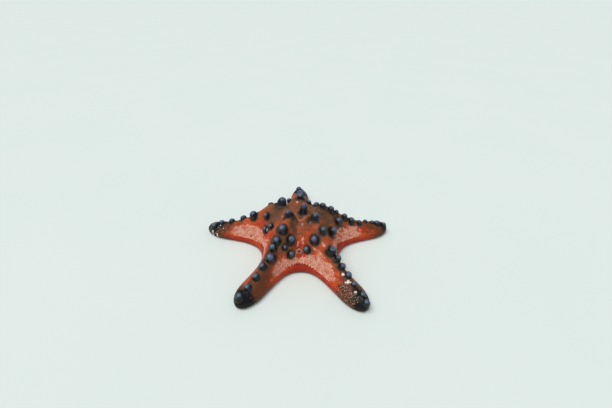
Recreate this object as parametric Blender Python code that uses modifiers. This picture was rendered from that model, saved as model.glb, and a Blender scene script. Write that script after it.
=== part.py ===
"""Chocolate chip sea star, Protoreaster nodosus, at rest on a flat floor.

Units are metres, +Z is up and +X points to the right arm. The body is one loft of ribs:
each rib runs from the crest of an arm down its flank, over the rim and under to the groove.
Thin cuts across the arms part the loft into a disc and five arms, and the horns, the tube
feet and the jaws grow from these.
"""
import math
import random
from collections import namedtuple

import bmesh
import bpy
from mathutils import Matrix, Vector

# Driving sizes; every other length of the body is a share of REACH
REACH = 0.115
GAP = 0.0003
MERGE = 0.000002
SEED = 11

# Plan: the arms counterclockwise from the right one, as seen from above. The bearing is in
# degrees from +X. crest_root and crest_end say how far the crest lies to the left of the
# arm's middle, on the shoulder and on the arm. lift scales the height of the crest.
Arm = namedtuple("Arm", "name bearing length half_width bend crest_root crest_end lift")
ARMS = (
    Arm("arm_right", 13.9, 1.00, 0.110, 0.006, 0.03, 0.00, 0.98),
    Arm("arm_back", 91.0, 0.99, 0.098, 0.000, 0.00, 0.00, 1.00),
    Arm("arm_left", 166.2, 1.05, 0.106, 0.018, -0.05, 0.00, 1.03),
    Arm("arm_front_left", 236.4, 0.955, 0.109, 0.000, -0.024, 0.01, 1.00),
    Arm("arm_front_right", 305.4, 1.01, 0.106, 0.000, 0.023, 0.01, 1.00),
)
# The bay after each arm: distance from the centre to its foot, and how full the flank is
BAYS = ((0.45, 1.0), (0.46, 1.0), (0.42, 0.75), (0.39, 0.45), (0.43, 0.75))
CUT = 0.435
TIP_START = 0.78
CREST_END = 0.91
# The disc's centre, as seen from the middle of the whole model's outline
CENTRE_X = 0.0032
CENTRE_Y = -0.0090

# Heights: the crest above the rim at stations along an arm, and the rim's own profile,
# outwards from the outline and up from the floor
CREST_STATIONS = (0.0, 0.1, 0.2, 0.3, 0.4, 0.5, 0.65, 0.8, 0.9, 1.0)
CREST_HEIGHTS = (0.350, 0.360, 0.375, 0.340, 0.270, 0.195, 0.106, 0.044, 0.028, 0.018)
RIM_TOP = 0.095
RIM_PROFILE = ((-0.012, 0.095), (-0.001, 0.079), (0.004, 0.050), (-0.003, 0.018), (-0.020, 0.0))
FLANK_STEPS = (0.0, 0.13, 0.28, 0.46, 0.66, 0.85)
# The flank's slope: exponents of the share and of the height left, from straight to blunt
FLANK_SHARE = (1.7, 2.3)
FLANK_POWER = (1.55, 0.62)
# How blunt it is where an arm starts, and along the arm
ROOT_BLUNT = 0.28
ARM_BLUNT = 0.4
# Stations between which the crest leaves the middle for the shoulder, comes back, and turns
# to its place on the arm, and where an arm's own height takes over from the disc's
SHOULDER_RISE = (0.0, 0.30)
SHOULDER_FALL = (0.35, 0.50)
ARM_ROW = (0.40, 0.60)
LIFT_FROM = (0.0, 0.25)

# Underside: one groove under each arm, which opens into the pit of the mouth
GROOVE_HALF = 0.036
GROOVE_DEPTH = 0.046
MOUTH_RADIUS = 0.078
MOUTH_DEPTH = 0.085
MOUTH_REACH = 0.10
GROOVE_MOST = 0.6
GROOVE_WALL = (0.8, 0.85)

# Ribs in each stretch; on the disc they crowd towards the centre by the power RIB_SPREAD
RIB_SPREAD = 1.8
DISC_RIBS = 6
ARM_RIBS = 5
TIP_RIBS = 5

# Horns: radius at the root and height, as shares of REACH
HORNS = {
    "apex": (0.043, 0.130),
    "giant": (0.052, 0.080),
    "large": (0.048, 0.054),
    "medium": (0.038, 0.043),
    "small": (0.029, 0.033),
}
# Rows of horns: station as a share of the arm's length, sideways place, and kind
ARM_HORNS = {
    "arm_right": (
        (0.478, -0.007, "medium"), (0.554, -0.020, "medium"), (0.650, -0.015, "small"),
        (0.746, 0.024, "small"), (0.828, 0.014, "small"), (0.876, -0.010, "medium"),
        (0.950, -0.030, "small"),
    ),
    "arm_back": (
        (0.490, 0.010, "medium"), (0.600, -0.020, "giant"), (0.710, 0.000, "medium"),
        (0.810, 0.000, "medium"), (0.905, 0.010, "medium"),
    ),
    "arm_left": (
        (0.466, 0.006, "large"), (0.602, -0.031, "medium"), (0.732, -0.018, "medium"),
        (0.849, -0.010, "medium"), (0.910, 0.042, "medium"),
    ),
    "arm_front_left": (
        (0.531, 0.023, "large"), (0.622, 0.003, "medium"), (0.727, 0.007, "medium"),
        (0.840, 0.002, "medium"), (0.954, 0.002, "medium"),
    ),
    "arm_front_right": (
        (0.484, 0.023, "large"), (0.556, 0.031, "medium"), (0.626, 0.028, "medium"),
        (0.709, 0.031, "medium"), (0.796, 0.023, "small"), (0.915, 0.017, "small"),
        (0.980, 0.000, "small"),
    ),
}
# The disc: bearing in degrees, distance from the centre, and kind
DISC_HORNS = (
    (330, 0.040, "apex"), (216, 0.118, "giant"), (318, 0.193, "giant"), (150, 0.210, "giant"),
    (35, 0.215, "medium"), (20.9, 0.251, "medium"), (15, 0.327, "medium"), (16, 0.394, "small"),
    (5.4, 0.396, "medium"), (312.3, 0.331, "medium"), (342.9, 0.330, "giant"),
    (296.5, 0.333, "large"), (284.2, 0.320, "medium"), (256.8, 0.350, "medium"),
    (253, 0.284, "large"), (248.1, 0.359, "small"), (237.3, 0.286, "large"),
    (236.8, 0.378, "medium"), (192, 0.288, "small"), (187.9, 0.346, "medium"),
    (174.6, 0.331, "medium"), (146.6, 0.361, "medium"), (112, 0.297, "small"),
    (88, 0.230, "large"), (92, 0.360, "small"), (52, 0.290, "medium"), (66, 0.230, "small"),
)
# A horn's outline, as shares of its radius and height, with its root below the skin
HORN_PROFILE = ((0.0, 1.0), (0.45, 0.90), (0.84, 0.50), (1.0, 0.08), (0.7, -0.5), (0.0, -0.5))
HORN_SIDES = 8
HORN_LEAN = 0.10
HORN_UPRIGHT = 0.9
HORN_RADIUS_VARY = 0.06
HORN_HEIGHT_VARY = 0.08
# Step that measures the skin's slope, and the halvings that find a point's rib
SLOPE_STEP = 0.012
HALVINGS = 30

# The sieve plate, set in a round pocket between the two front arms
PLATE_BEARING = 270.0
PLATE_RADIUS = 0.305
PLATE_SIZE = 0.030
PLATE_RISE = 0.010
PLATE_SIDES = 14
POCKET_DEPTH = 0.016
PLATE_PROFILE = ((0.0, 0.75), (0.45, 1.0), (0.85, 0.8), (1.0, 0.2))

# The mouth: a round lip under the disc, with a pair of jaw spines in each bay
LIP_SIZE = 0.046
LIP_TOP = 0.105
LIP_LOW = 0.062
LIP_SIDES = 20
LIP_PROFILE = ((1.0, 0.0), (0.8, -0.1), (0.35, 0.0), (0.2, 0.3), (0.0, 0.35))
JAW_RING = 0.030
JAW_SPREAD = 0.22
JAW_LEAN = 0.35
JAW_RADIUS = 0.0075
JAW_LENGTH = 0.038
JAW_PROFILE = ((0.0, 1.0), (0.6, 0.85), (1.0, 0.3), (1.0, -0.3), (0.0, -0.3))
JAW_SIDES = 5

# Tube feet: two rows along each groove, down to the floor
FOOT_PITCH = 0.066
FOOT_START = 0.14
FOOT_STOP = 0.90
FOOT_ROW = 0.0175
FOOT_SUCKER = 0.0125
FOOT_SINK = 0.0012
FOOT_CLEARANCE = 0.0004
FOOT_PROFILE = ((0.0, 1.0), (0.7, 1.0), (0.58, 0.30), (1.0, 0.08), (0.0, 0.0))
FOOT_SIDES = 5

# Materials: colour and roughness
SKIN = ((0.60, 0.13, 0.05, 1.0), 0.6)
PLATE = ((0.62, 0.33, 0.28, 1.0), 0.7)
JAWS = ((0.70, 0.45, 0.30, 1.0), 0.5)


def smooth(x):
    """A step from 0 to 1 with level ends."""
    x = min(max(x, 0.0), 1.0)
    return x * x * (3.0 - 2.0 * x)


def between(a, b, share):
    """The point a share of the way from a to b."""
    return a + (b - a) * share


def ramp(x, stretch):
    """A smooth step that starts and ends with a stretch."""
    return smooth((x - stretch[0]) / (stretch[1] - stretch[0]))


# The plan, in shares of REACH: s runs along an arm, t to its left

def bay(index, side):
    """Half the angle to the neighbour on one side of an arm, and that bay's depth and fullness."""
    other = (index + side) % len(ARMS)
    turn = side * (ARMS[other].bearing - ARMS[index].bearing) % 360.0
    depth, full = BAYS[index] if side > 0 else BAYS[other]
    return math.radians(turn / 2.0), depth, full


def half_width(index, side, s):
    """Distance from the middle of an arm to its outline, apart from the rounded tip."""
    turn, depth, _ = bay(index, side)
    arm = ARMS[index]
    extra = depth * math.sin(turn) - arm.half_width
    fade = extra * math.tan(turn)
    return arm.half_width + extra * math.exp(-max(s - depth * math.cos(turn), 0.0) / fade)


def crest_side(arm, s):
    """How far the crest lies to the left of an arm's middle."""
    root = ramp(s, SHOULDER_RISE) * (1.0 - ramp(s, SHOULDER_FALL))
    return arm.crest_root * root + arm.crest_end * ramp(s, ARM_ROW)


def crest_height(arm, s):
    """Height of the crest above the rim."""
    q = min(max(s / arm.length, 0.0), 1.0)
    k = next(i for i, station in enumerate(CREST_STATIONS[1:]) if q <= station)
    a, b = CREST_STATIONS[k], CREST_STATIONS[k + 1]
    x = (q - a) / (b - a)
    value = between(CREST_HEIGHTS[k], CREST_HEIGHTS[k + 1], smooth(x))
    value += (b - a) * x * (1.0 - x) * (station_slope(k) * (1.0 - x) - station_slope(k + 1) * x)
    return value * between(1.0, arm.lift, ramp(s, LIFT_FROM))


def station_slope(k):
    """Slope of the crest at a station, level at the disc's centre."""
    if k == 0:
        return 0.0
    a, b = max(k - 1, 0), min(k + 1, len(CREST_STATIONS) - 1)
    return (CREST_HEIGHTS[b] - CREST_HEIGHTS[a]) / (CREST_STATIONS[b] - CREST_STATIONS[a])


def world(arm, s, t):
    """Place on the floor of a point s along and t left of an arm, in metres."""
    turn = math.radians(arm.bearing)
    t += arm.bend * (max(s - CUT, 0.0) / (arm.length - CUT)) ** 2
    x = s * math.cos(turn) - t * math.sin(turn)
    y = s * math.sin(turn) + t * math.cos(turn)
    return Vector((CENTRE_X + x * REACH, CENTRE_Y + y * REACH))


Rib = namedtuple("Rib", "crest axis margin outward blunt mouth")


def rib(index, side, u):
    """The rib at u: 0 in the bay, 1 at the cut, 2 where the tip starts, 3 at the tip."""
    arm = ARMS[index]
    turn, depth, full = bay(index, side)
    foot = depth * math.cos(turn)
    tip_start = TIP_START * arm.length
    if u <= 1.0:
        s, s_margin = CUT * u ** RIB_SPREAD, between(foot, CUT, u)
        t_margin = half_width(index, side, s_margin)
        lean = Vector((math.cos(turn) * (1.0 - u), between(math.sin(turn), 1.0, u))).normalized()
        blunt = between(full, ROOT_BLUNT, smooth(u))
    elif u <= 2.0:
        s = s_margin = between(CUT, tip_start, u - 1.0)
        t_margin = half_width(index, side, s)
        lean = Vector((0.0, 1.0))
        blunt = between(ROOT_BLUNT, ARM_BLUNT, smooth(u - 1.0))
    else:
        angle = (u - 2.0) * math.pi / 2.0
        nose = arm.length - tip_start
        s = tip_start + (CREST_END * arm.length - tip_start) * math.sin(angle)
        s_margin = tip_start + nose * math.sin(angle)
        t_margin = half_width(index, side, s_margin) * math.cos(angle)
        lean = Vector((math.sin(angle) / nose, math.cos(angle) / arm.half_width)).normalized()
        blunt = between(ARM_BLUNT, 1.0, smooth(u - 2.0))
    return Rib(
        crest=Vector((s, crest_side(arm, s))), axis=Vector((s, 0.0)),
        margin=Vector((s_margin, side * t_margin)), outward=Vector((lean.x, side * lean.y)),
        blunt=blunt, mouth=max(1.0 - u, 0.0),
    )


def flank(share, blunt):
    """Height left at a share of the way from the crest to the rim; blunt rounds it."""
    return (1.0 - share ** between(*FLANK_SHARE, blunt)) ** between(*FLANK_POWER, blunt)


def groove_roof(s):
    """Height of the groove's roof above the floor."""
    return between(MOUTH_DEPTH, GROOVE_DEPTH, smooth(s / MOUTH_REACH))


def section(index, side, u):
    """The points of one rib, from the crest over the rim to the roof of the groove."""
    arm = ARMS[index]
    shape = rib(index, side, u)
    height = crest_height(arm, shape.crest.x)
    top = shape.margin + shape.outward * RIM_PROFILE[0][0]
    points = []
    for share in FLANK_STEPS:
        place = between(shape.crest, top, share)
        points.append((place, RIM_TOP + height * flank(share, shape.blunt)))
    points += [(shape.margin + shape.outward * out, up) for out, up in RIM_PROFILE]
    ground = shape.margin + shape.outward * RIM_PROFILE[-1][0]
    across = ground - shape.axis
    half = between(GROOVE_HALF, MOUTH_RADIUS, smooth(shape.mouth))
    edge = min(half / across.length, GROOVE_MOST)
    roof = groove_roof(shape.axis.x)
    wall_in, wall_up = GROOVE_WALL
    points.append((shape.axis + across * between(edge, 1.0, 0.5), 0.0))
    points.append((shape.axis + across * edge, 0.0))
    points.append((shape.axis + across * edge * wall_in, roof * wall_up))
    points.append((shape.axis, roof))
    return [Vector((*world(arm, p.x, p.y), z * REACH)) for p, z in points]


# The skin's surface, where the horns stand

def arm_at(x, y):
    """The arm that a point belongs to, and its place along and left of that arm."""
    bearing = math.degrees(math.atan2(y, x)) % 360.0
    best = min(range(len(ARMS)), key=lambda i: off_bay(i, bearing))
    turn = math.radians(ARMS[best].bearing)
    s = x * math.cos(turn) + y * math.sin(turn)
    return best, s, y * math.cos(turn) - x * math.sin(turn)


def off_bay(index, bearing):
    """How far a bearing is from an arm, as a share of the way to its bay."""
    turn = (bearing - ARMS[index].bearing + 180.0) % 360.0 - 180.0
    side = 1 if turn >= 0.0 else -1
    return abs(math.radians(turn)) / bay(index, side)[0]


def skin_height(index, s, t):
    """Height of the skin s along and t left of an arm, in shares of REACH."""
    arm = ARMS[index]
    side = 1 if t >= crest_side(arm, s) else -1
    low, high = 0.0, 3.0
    for _ in range(HALVINGS):
        middle = (low + high) / 2.0
        shape = rib(index, side, middle)
        way = shape.margin - shape.crest
        reach = Vector((s, t)) - shape.crest
        ahead = side * (way.y * reach.x - way.x * reach.y) > 0.0
        low, high = (middle, high) if ahead else (low, middle)
    share = min(max(reach.dot(way) / way.length_squared, 0.0), 1.0)
    return RIM_TOP + crest_height(arm, shape.crest.x) * flank(share, shape.blunt)


def skin_frame(index, s, t):
    """Place on the skin and the direction that it faces there, in metres."""
    arm, step = ARMS[index], SLOPE_STEP
    here = Vector((*world(arm, s, t), skin_height(index, s, t) * REACH))
    along = Vector((*world(arm, s - step, t), skin_height(index, s - step, t) * REACH))
    left = Vector((*world(arm, s, t + step), skin_height(index, s, t + step) * REACH))
    right = Vector((*world(arm, s, t - step), skin_height(index, s, t - step) * REACH))
    normal = (here - along).cross(left - right).normalized()
    return here, normal


# Mesh helpers

def material(name, colour, roughness):
    """A plain Principled material."""
    made = bpy.data.materials.new(name)
    made.use_nodes = True
    shader = made.node_tree.nodes["Principled BSDF"]
    shader.inputs["Base Color"].default_value = colour
    shader.inputs["Roughness"].default_value = roughness
    return made


def object_from(bm, name, collection):
    """A mesh object made from a bmesh, which it frees."""
    mesh = bpy.data.meshes.new(name)
    bm.to_mesh(mesh)
    bm.free()
    made = bpy.data.objects.new(name, mesh)
    collection.objects.link(made)
    return made


def turned(name, profile, sides):
    """The closed mesh of a turned profile; its points are radius and height, top to bottom."""
    mesh = bpy.data.meshes.new(name)
    points = [(radius, 0.0, height) for radius, height in profile]
    mesh.from_pydata(points, [(k, k + 1) for k in range(len(points) - 1)], [])
    guide = bpy.data.objects.new(name, mesh)
    bpy.context.scene.collection.objects.link(guide)
    screw = guide.modifiers.new("turn", "SCREW")
    screw.steps = sides
    screw.render_steps = sides
    screw.use_smooth_shade = False
    screw.use_merge_vertices = True
    screw.merge_threshold = MERGE
    apply_modifiers(guide)
    made = guide.data
    bpy.data.objects.remove(guide, do_unlink=True)
    return made


def place_copy(name, mesh, matrix, collection):
    """An object with its own copy of a mesh, moved by a matrix."""
    copy = mesh.copy()
    copy.transform(matrix)
    made = bpy.data.objects.new(name, copy)
    collection.objects.link(made)
    return made


def loft(name, strips, collection):
    """A closed body from strips of ribs; open ends are closed by flat caps."""
    bm = bmesh.new()
    for ribs in strips:
        grid = [[bm.verts.new(point) for point in points] for points in ribs]
        for near, far in zip(grid, grid[1:]):
            for k in range(len(near) - 1):
                bm.faces.new((near[k], near[k + 1], far[k + 1], far[k]))
    bmesh.ops.remove_doubles(bm, verts=bm.verts, dist=MERGE)
    bmesh.ops.dissolve_degenerate(bm, edges=bm.edges, dist=MERGE)
    open_edges = [edge for edge in bm.edges if edge.is_boundary]
    bmesh.ops.holes_fill(bm, edges=open_edges, sides=0)
    bmesh.ops.triangulate(bm, faces=bm.faces, quad_method="BEAUTY", ngon_method="EAR_CLIP")
    bmesh.ops.recalc_face_normals(bm, faces=bm.faces)
    return object_from(bm, name, collection)


def apply_modifiers(piece):
    """Keep the evaluated mesh in place of the modifiers."""
    graph = bpy.context.evaluated_depsgraph_get()
    mesh = bpy.data.meshes.new_from_object(piece.evaluated_get(graph))
    piece.modifiers.clear()
    piece.data = mesh


def keep_largest(piece):
    """Keep only the closed surface with the most faces."""
    bm = bmesh.new()
    bm.from_mesh(piece.data)
    left = set(bm.faces)
    shells = []
    while left:
        shell = set()
        edge_of = [left.pop()]
        while edge_of:
            face = edge_of.pop()
            shell.add(face)
            for edge in face.edges:
                for near in edge.link_faces:
                    if near in left:
                        left.remove(near)
                        edge_of.append(near)
        shells.append(shell)
    largest = max(shells, key=len)
    loose = [face for face in bm.faces if face not in largest]
    bmesh.ops.delete(bm, geom=loose, context="FACES")
    bmesh.ops.triangulate(bm, faces=bm.faces)
    bm.to_mesh(piece.data)
    bm.free()


def boolean(piece, operation, collection):
    """Join a collection of closed pieces to a piece, or cut them from it."""
    change = piece.modifiers.new(operation.lower(), "BOOLEAN")
    change.operation = operation
    change.operand_type = "COLLECTION"
    change.collection = collection
    change.solver = "EXACT"
    apply_modifiers(piece)
    keep_largest(piece)
    for used in list(collection.objects):
        bpy.data.objects.remove(used, do_unlink=True)
    bpy.data.collections.remove(collection)


def new_collection(name):
    """A collection linked to the scene."""
    made = bpy.data.collections.new(name)
    bpy.context.scene.collection.children.link(made)
    return made


# Pieces that grow from the body

def upright(origin, direction, scale):
    """Matrix that stands a turned piece at a point, along a direction."""
    turn = Vector((0.0, 0.0, 1.0)).rotation_difference(direction).to_matrix().to_4x4()
    return Matrix.Translation(origin) @ turn @ Matrix.Diagonal((*scale, 1.0))


def horn(index, s, t, kind, draw, shapes, collection):
    """One blunt horn with its root sunk in the skin."""
    radius, height = HORNS[kind]
    radius *= REACH * draw.uniform(1.0 - HORN_RADIUS_VARY, 1.0 + HORN_RADIUS_VARY)
    height *= REACH * draw.uniform(1.0 - HORN_HEIGHT_VARY, 1.0 + HORN_HEIGHT_VARY)
    place, normal = skin_frame(index, s, t)
    aim = (normal + Vector((0.0, 0.0, HORN_UPRIGHT))).normalized()
    aim += Vector([draw.uniform(-HORN_LEAN, HORN_LEAN) for _ in range(3)])
    turn = Matrix.Rotation(draw.uniform(0.0, math.pi), 4, "Z")
    stand = upright(place, aim.normalized(), (radius, radius, height))
    place_copy("horn", shapes["horn"], stand @ turn, collection)


def tube_foot(arm, s, t, shapes, collection):
    """One tube foot that hangs from the groove's roof down to its sucker."""
    length = groove_roof(s) * REACH + FOOT_SINK - FOOT_CLEARANCE
    place = Matrix.Translation((*world(arm, s, t), FOOT_CLEARANCE))
    scale = Matrix.Diagonal((FOOT_SUCKER * REACH, FOOT_SUCKER * REACH, length, 1.0))
    place_copy("foot", shapes["foot"], place @ scale, collection)


def feet(arm, first, last, shapes, collection):
    """The two rows of tube feet of one arm between two stations."""
    count = int((FOOT_STOP * arm.length - FOOT_START) / FOOT_PITCH) + 1
    for k in range(count):
        s = FOOT_START + k * FOOT_PITCH
        if first < s < last:
            for row in (-FOOT_ROW, FOOT_ROW):
                tube_foot(arm, s, row, shapes, collection)


# The nodes

def disc(draw, shapes, collection):
    """The middle of the body, with its horns and the roots of the grooves."""
    strips = []
    for index in range(len(ARMS)):
        for side in (-1, 1):
            strips.append([section(index, side, k / DISC_RIBS) for k in range(DISC_RIBS + 1)])
            trim(strips[-1][-1], index, -GAP / 2.0)
    made = loft("disc", strips, collection)
    grown = new_collection("grown")
    for bearing, distance, kind in DISC_HORNS:
        turn = math.radians(bearing)
        index, s, t = arm_at(distance * math.cos(turn), distance * math.sin(turn))
        horn(index, s, t, kind, draw, shapes, grown)
    for arm in ARMS:
        feet(arm, 0.0, CUT - FOOT_SUCKER, shapes, grown)
    boolean(made, "UNION", grown)
    return made


def trim(points, index, shift):
    """Move a rib along its arm, to leave half of a thin cut open."""
    turn = math.radians(ARMS[index].bearing)
    for point in points:
        point += Vector((math.cos(turn), math.sin(turn), 0.0)) * shift


def arm_body(index, draw, shapes, collection):
    """One arm from the cut to its tip, with its horns and tube feet."""
    arm = ARMS[index]
    strips = []
    steps = [1.0 + k / ARM_RIBS for k in range(ARM_RIBS)]
    steps += [2.0 + k / TIP_RIBS for k in range(TIP_RIBS + 1)]
    for side in (-1, 1):
        strips.append([section(index, side, u) for u in steps])
        trim(strips[-1][0], index, GAP / 2.0)
    made = loft(arm.name, strips, collection)
    grown = new_collection("grown")
    for s, t, kind in ARM_HORNS[arm.name]:
        horn(index, s * arm.length, t, kind, draw, shapes, grown)
    feet(arm, CUT + FOOT_SUCKER, arm.length, shapes, grown)
    boolean(made, "UNION", grown)
    return made


def plate_frame():
    """Place and direction of the sieve plate."""
    turn = math.radians(PLATE_BEARING)
    index, s, t = arm_at(PLATE_RADIUS * math.cos(turn), PLATE_RADIUS * math.sin(turn))
    return skin_frame(index, s, t)


def sieve_plate(body, collection):
    """The sieve plate, a low button in a pocket that it leaves by the gap."""
    place, normal = plate_frame()
    size, rise, depth = PLATE_SIZE * REACH, PLATE_RISE * REACH, POCKET_DEPTH * REACH
    stand = upright(place, normal, (1.0, 1.0, 1.0))
    wide, deep = size + GAP, depth + GAP
    bore = turned("bore", ((0.0, deep), (wide, deep), (wide, -deep), (0.0, -deep)), PLATE_SIDES)
    pocket = new_collection("pocket")
    place_copy("bore", bore, stand, pocket)
    boolean(body, "DIFFERENCE", pocket)
    profile = [(radius * size, up * rise) for radius, up in PLATE_PROFILE]
    profile += [(size, -depth), (0.0, -depth)]
    return place_copy("madreporite", turned("button", profile, PLATE_SIDES), stand, collection)


def mouth(body, shapes, collection):
    """The lip of the mouth, let into the roof of its pit, with five pairs of jaw spines."""
    size, top, low = LIP_SIZE * REACH, LIP_TOP * REACH, LIP_LOW * REACH
    stand = Matrix.Translation((CENTRE_X, CENTRE_Y, 0.0))
    wide, over = size + GAP, top + GAP
    bore = turned("bore", ((0.0, over), (wide, over), (wide, low), (0.0, low)), LIP_SIDES)
    pocket = new_collection("pocket")
    place_copy("bore", bore, stand, pocket)
    boolean(body, "DIFFERENCE", pocket)
    profile = [(0.0, top), (size, top)]
    profile += [(radius * size, low + up * size) for radius, up in LIP_PROFILE]
    made = place_copy("mouth", turned("lip", profile, LIP_SIDES), stand, collection)
    jaws = new_collection("jaws")
    for index, arm in enumerate(ARMS):
        middle = math.radians(arm.bearing) + bay(index, 1)[0]
        for turn in (middle - JAW_SPREAD, middle + JAW_SPREAD):
            root = Vector((CENTRE_X, CENTRE_Y, low)) + ring_point(JAW_RING * REACH, turn)
            aim = Vector((0.0, 0.0, -1.0)) - ring_point(JAW_LEAN, turn)
            size = (JAW_RADIUS * REACH, JAW_RADIUS * REACH, JAW_LENGTH * REACH)
            place_copy("jaw", shapes["jaw"], upright(root, aim.normalized(), size), jaws)
    boolean(made, "UNION", jaws)
    return made


def ring_point(radius, turn):
    """A point on a level ring."""
    return Vector((radius * math.cos(turn), radius * math.sin(turn), 0.0))


def main():
    """Build every node."""
    for old in list(bpy.data.objects):
        bpy.data.objects.remove(old, do_unlink=True)
    parts = new_collection("sea_star")
    draw = random.Random(SEED)
    shapes = {
        "horn": turned("horn", HORN_PROFILE, HORN_SIDES),
        "foot": turned("foot", FOOT_PROFILE, FOOT_SIDES),
        "jaw": turned("jaw", JAW_PROFILE, JAW_SIDES),
    }
    skin = material("skin", *SKIN)
    body = disc(draw, shapes, parts)
    body.data.materials.append(skin)
    for index in range(len(ARMS)):
        arm_body(index, draw, shapes, parts).data.materials.append(skin)
    plate = sieve_plate(body, parts)
    plate.data.materials.append(material("plate", *PLATE))
    lip = mouth(body, shapes, parts)
    lip.data.materials.append(material("mouth", *JAWS))


main()
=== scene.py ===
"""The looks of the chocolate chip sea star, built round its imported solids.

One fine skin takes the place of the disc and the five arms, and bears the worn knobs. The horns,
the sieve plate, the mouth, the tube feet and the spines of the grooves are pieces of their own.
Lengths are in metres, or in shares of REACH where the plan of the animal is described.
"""

import math
import random
from collections import namedtuple

import bmesh
import bpy
import numpy as np
from mathutils import Matrix, Vector, noise

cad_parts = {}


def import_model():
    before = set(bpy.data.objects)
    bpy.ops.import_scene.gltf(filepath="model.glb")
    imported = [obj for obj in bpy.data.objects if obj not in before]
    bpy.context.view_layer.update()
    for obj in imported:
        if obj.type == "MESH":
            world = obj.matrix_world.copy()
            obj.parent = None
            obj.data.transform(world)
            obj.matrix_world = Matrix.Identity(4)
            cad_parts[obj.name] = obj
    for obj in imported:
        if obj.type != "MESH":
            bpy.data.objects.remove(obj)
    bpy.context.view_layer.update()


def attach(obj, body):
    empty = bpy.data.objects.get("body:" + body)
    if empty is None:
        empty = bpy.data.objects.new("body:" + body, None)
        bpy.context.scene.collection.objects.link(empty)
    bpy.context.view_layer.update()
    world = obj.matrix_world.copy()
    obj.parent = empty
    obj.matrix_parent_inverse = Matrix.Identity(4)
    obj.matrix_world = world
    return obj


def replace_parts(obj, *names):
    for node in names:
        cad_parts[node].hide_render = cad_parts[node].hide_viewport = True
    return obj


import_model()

# The plan that the solids follow: the arms counterclockwise from the right one
REACH = 0.115
SEED = 11
Arm = namedtuple("Arm", "name bearing length half_width bend crest_root crest_end lift")
ARMS = (
    Arm("arm_right", 13.9, 1.0, 0.11, 0.006, 0.03, 0.0, 0.98),
    Arm("arm_back", 91.0, 0.99, 0.098, 0.0, 0.0, 0.0, 1.0),
    Arm("arm_left", 166.2, 1.05, 0.106, 0.018, -0.05, 0.0, 1.03),
    Arm("arm_front_left", 236.4, 0.955, 0.109, 0.0, -0.024, 0.01, 1.0),
    Arm("arm_front_right", 305.4, 1.01, 0.106, 0.0, 0.023, 0.01, 1.0),
)
BAYS = ((0.45, 1.0), (0.46, 1.0), (0.42, 0.75), (0.39, 0.45), (0.43, 0.75))
CUT = 0.435
TIP_START = 0.78
CREST_END = 0.91
CENTRE = Vector((0.0032, -0.009, 0.0))
UP = Vector((0.0, 0.0, 1.0))

CREST_STATIONS = (0.0, 0.1, 0.2, 0.3, 0.4, 0.5, 0.65, 0.8, 0.9, 1.0)
CREST_HEIGHTS = (0.35, 0.36, 0.375, 0.34, 0.27, 0.195, 0.106, 0.044, 0.028, 0.018)
RIM_TOP = 0.095
RIM_PROFILE = ((-0.012, 0.095), (-0.001, 0.079), (0.004, 0.05), (-0.003, 0.018), (-0.02, 0.0))
FLANK_SHARE = (1.7, 2.3)
FLANK_POWER = (1.55, 0.62)
ROOT_BLUNT = 0.28
ARM_BLUNT = 0.4
SHOULDER_RISE = (0.0, 0.3)
SHOULDER_FALL = (0.35, 0.5)
ARM_ROW = (0.4, 0.6)
LIFT_FROM = (0.0, 0.25)
GROOVE_HALF = 0.036
GROOVE_DEPTH = 0.046
MOUTH_RADIUS = 0.078
MOUTH_DEPTH = 0.085
MOUTH_REACH = 0.1
GROOVE_MOST = 0.6
GROOVE_WALL = (0.8, 0.85)
RIB_SPREAD = 1.8

# Kinds of horns, with the radius at the root and the height as shares of REACH, and the rows
# of them: places along and left of each arm, and bearings and distances on the disc
APEX = (0.043, 0.13)
GIANT = (0.052, 0.08)
LARGE = (0.048, 0.054)
MEDIUM = (0.038, 0.043)
SMALL = (0.029, 0.033)
ARM_HORNS = (
    (
        (0.478, -0.007, MEDIUM), (0.554, -0.02, MEDIUM), (0.65, -0.015, SMALL),
        (0.746, 0.024, SMALL), (0.828, 0.014, SMALL), (0.876, -0.01, MEDIUM),
        (0.95, -0.03, SMALL),
    ),
    (
        (0.49, 0.01, MEDIUM), (0.6, -0.02, GIANT), (0.71, 0.0, MEDIUM),
        (0.81, 0.0, MEDIUM), (0.905, 0.01, MEDIUM),
    ),
    (
        (0.466, 0.006, LARGE), (0.602, -0.031, MEDIUM), (0.732, -0.018, MEDIUM),
        (0.849, -0.01, MEDIUM), (0.91, 0.042, MEDIUM),
    ),
    (
        (0.531, 0.023, LARGE), (0.622, 0.003, MEDIUM), (0.727, 0.007, MEDIUM),
        (0.84, 0.002, MEDIUM), (0.954, 0.002, MEDIUM),
    ),
    (
        (0.484, 0.023, LARGE), (0.556, 0.031, MEDIUM), (0.626, 0.028, MEDIUM),
        (0.709, 0.031, MEDIUM), (0.796, 0.023, SMALL), (0.915, 0.017, SMALL),
        (0.98, 0.0, SMALL),
    ),
)
DISC_HORNS = (
    (330, 0.04, APEX), (216, 0.118, GIANT), (318, 0.193, GIANT), (150, 0.21, GIANT),
    (35, 0.215, MEDIUM), (20.9, 0.251, MEDIUM), (15, 0.327, MEDIUM), (16, 0.394, SMALL),
    (5.4, 0.396, MEDIUM), (312.3, 0.331, MEDIUM), (342.9, 0.33, GIANT),
    (296.5, 0.333, LARGE), (284.2, 0.32, MEDIUM), (256.8, 0.35, MEDIUM),
    (253, 0.284, LARGE), (248.1, 0.359, SMALL), (237.3, 0.286, LARGE),
    (236.8, 0.378, MEDIUM), (192, 0.288, SMALL), (187.9, 0.346, MEDIUM),
    (174.6, 0.331, MEDIUM), (146.6, 0.361, MEDIUM), (112, 0.297, SMALL),
    (88, 0.23, LARGE), (92, 0.36, SMALL), (52, 0.29, MEDIUM), (66, 0.23, SMALL),
)
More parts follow.
